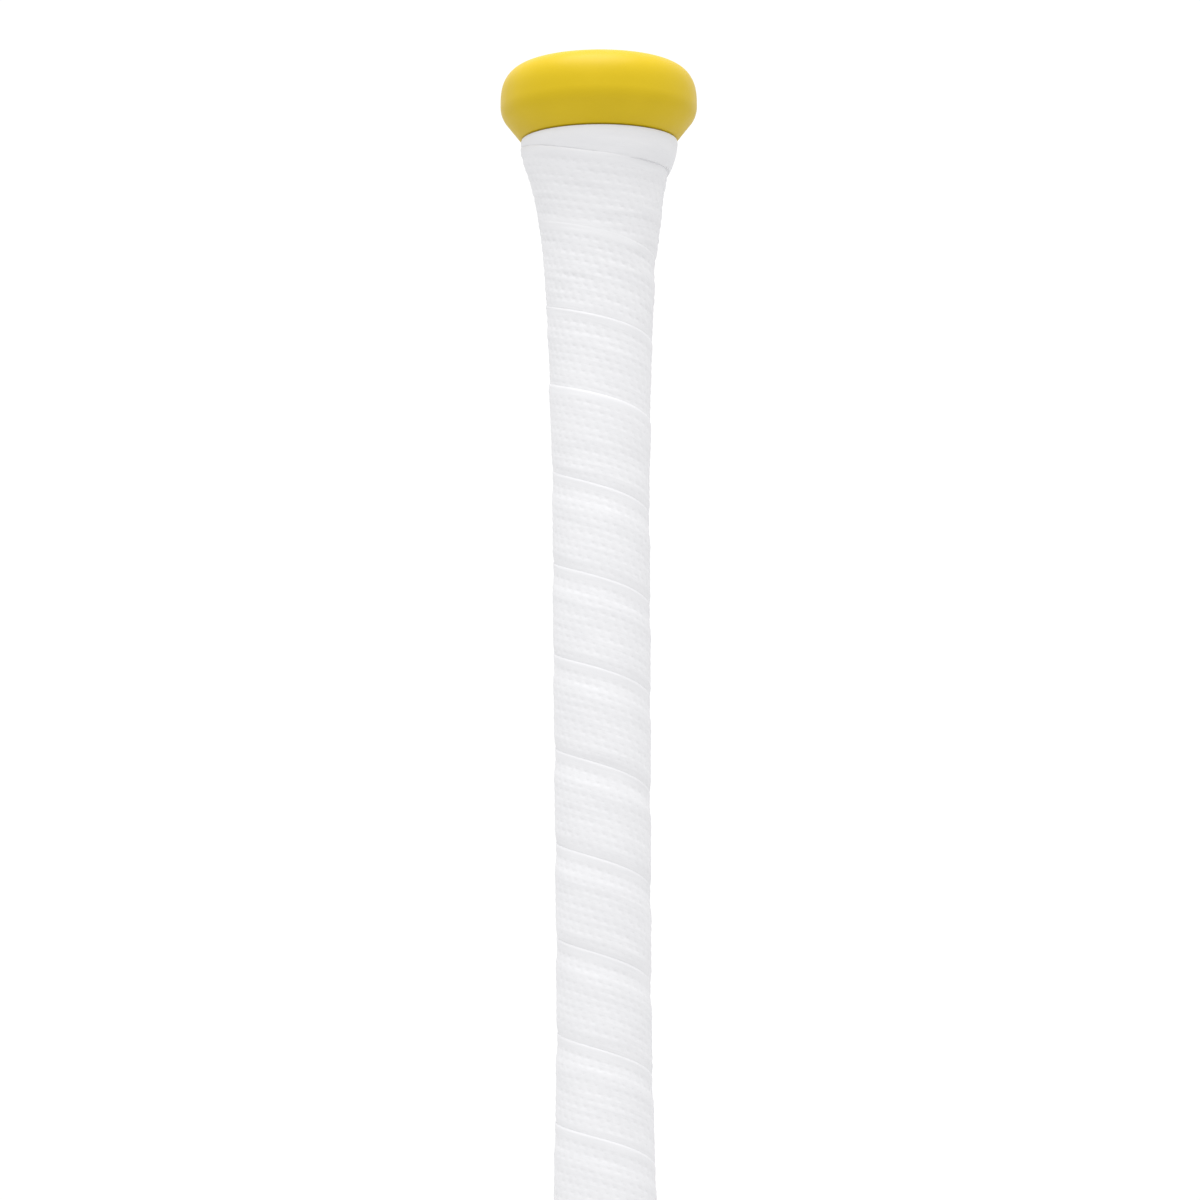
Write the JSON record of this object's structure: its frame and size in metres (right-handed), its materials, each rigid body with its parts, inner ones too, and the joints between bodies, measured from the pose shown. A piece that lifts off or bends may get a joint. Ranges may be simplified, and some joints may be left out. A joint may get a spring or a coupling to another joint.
{
  "type": "ball bat",
  "caption": "Two-piece softball or baseball bat with a rounded yellow knob, a flared handle wound in perforated white grip tape, a joint collar and a capped straight barrel.",
  "frame": {"origin": "centre of the end cap's flat face, on the bat's axis", "axes": "+Z along the bat, from the end cap through the barrel and handle to the knob"},
  "size_m": [0.0572, 0.057, 0.8382],
  "materials": {
    "yellow_urethane": "satin",
    "badge": "gloss",
    "plug_plastic": "matte",
    "steel": "satin",
    "grip": "matte",
    "adhesive": "matte",
    "dark_tape": "satin",
    "black_rubber": "matte",
    "white_gloss": "gloss",
    "foam": "matte",
    "dark_collar": "satin",
    "raw_composite": "matte",
    "ring_metal": "satin"
  },
  "bodies": {
    "root": {"knob": "yellow_urethane", "knob_badge": "badge", "knob_plug": "plug_plastic", "knob_weight": "steel", "grip_tape": "grip", "grip_adhesive": "adhesive", "grip_end_band": "dark_tape", "flare_sleeve": "black_rubber", "handle_tube": "white_gloss", "handle_foam_plug": "foam", "joint_sleeve": "black_rubber", "joint_collar": "dark_collar", "barrel_shell": "white_gloss", "barrel_inner_sleeve": "raw_composite", "sleeve_retaining_ring": "ring_metal", "end_cap": "yellow_urethane", "end_cap_bond": "adhesive", "end_cap_puck": "black_rubber"}
  },
  "joints": []
}
